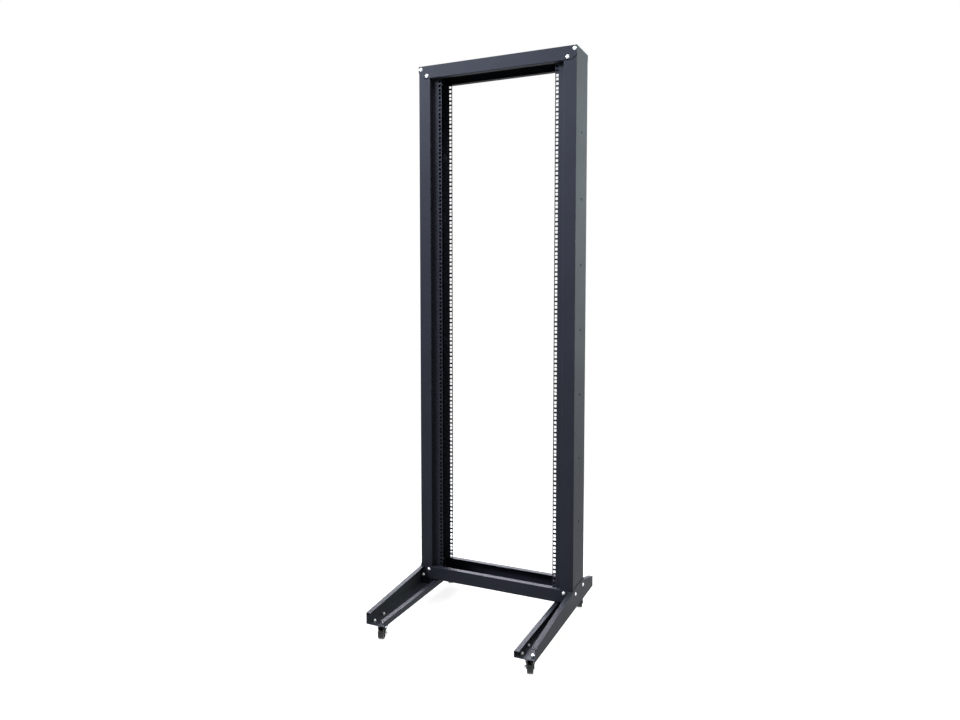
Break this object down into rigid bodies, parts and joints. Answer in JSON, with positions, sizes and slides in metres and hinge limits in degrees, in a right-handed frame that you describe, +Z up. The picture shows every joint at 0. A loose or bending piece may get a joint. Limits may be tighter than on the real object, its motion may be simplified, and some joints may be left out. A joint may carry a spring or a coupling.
{
  "type": "two-post open frame equipment rack on casters",
  "caption": "Tall open frame rack: two folded steel posts with punched rails for 19-inch equipment, joined by lipped beams on tapered channel legs with swivel casters.",
  "frame": {"origin": "on the floor in the middle of the footprint", "axes": "+Z up, +X to the right when facing the front, -Y towards the front, where the legs are longer"},
  "size_m": [0.624, 0.638, 2.0499],
  "materials": {
    "black_powder_coat": "fine satin powder coat on folded sheet steel",
    "caster_steel": "black plated pressed steel",
    "wheel_plastic": "moulded black plastic"
  },
  "bodies": {
    "frame": {"left_post": "black_powder_coat", "right_post": "black_powder_coat", "left_front_rail": "black_powder_coat", "right_front_rail": "black_powder_coat", "left_rear_rail": "black_powder_coat", "right_rear_rail": "black_powder_coat", "top_beam": "black_powder_coat", "base_beam": "black_powder_coat", "left_leg": "black_powder_coat", "right_leg": "black_powder_coat", "front_left_caster_plate": "caster_steel", "front_right_caster_plate": "caster_steel", "rear_left_caster_plate": "caster_steel", "rear_right_caster_plate": "caster_steel"},
    "front_left_swivel": {"front_left_caster_fork": "caster_steel"},
    "front_left_roller": {"front_left_caster_wheel": "wheel_plastic"},
    "front_right_swivel": {"front_right_caster_fork": "caster_steel"},
    "front_right_roller": {"front_right_caster_wheel": "wheel_plastic"},
    "rear_left_swivel": {"rear_left_caster_fork": "caster_steel"},
    "rear_left_roller": {"rear_left_caster_wheel": "wheel_plastic"},
    "rear_right_swivel": {"rear_right_caster_fork": "caster_steel"},
    "rear_right_roller": {"rear_right_caster_wheel": "wheel_plastic"}
  },
  "joints": [
    {"name": "front_left_caster_swivel", "type": "hinge", "parent": "frame", "child": "front_left_swivel", "pos_m": [-0.275, -0.265, 0.0475], "axis": [0, 0, 1], "continuous": true},
    {"name": "front_left_wheel_spin", "type": "hinge", "parent": "front_left_swivel", "child": "front_left_roller", "pos_m": [-0.26635, -0.29163, 0.02], "axis": [0.9511, 0.309, 0], "continuous": true},
    {"name": "front_right_caster_swivel", "type": "hinge", "parent": "frame", "child": "front_right_swivel", "pos_m": [0.275, -0.265, 0.0475], "axis": [0, 0, 1], "continuous": true},
    {"name": "front_right_wheel_spin", "type": "hinge", "parent": "front_right_swivel", "child": "front_right_roller", "pos_m": [0.28365, -0.29163, 0.02], "axis": [0.9511, 0.309, 0], "continuous": true},
    {"name": "rear_left_caster_swivel", "type": "hinge", "parent": "frame", "child": "rear_left_swivel", "pos_m": [-0.275, 0.265, 0.0475], "axis": [0, 0, 1], "continuous": true},
    {"name": "rear_left_wheel_spin", "type": "hinge", "parent": "rear_left_swivel", "child": "rear_left_roller", "pos_m": [-0.26635, 0.23837, 0.02], "axis": [0.9511, 0.309, 0], "continuous": true},
    {"name": "rear_right_caster_swivel", "type": "hinge", "parent": "frame", "child": "rear_right_swivel", "pos_m": [0.275, 0.265, 0.0475], "axis": [0, 0, 1], "continuous": true},
    {"name": "rear_right_wheel_spin", "type": "hinge", "parent": "rear_right_swivel", "child": "rear_right_roller", "pos_m": [0.28365, 0.23837, 0.02], "axis": [0.9511, 0.309, 0], "continuous": true}
  ]
}
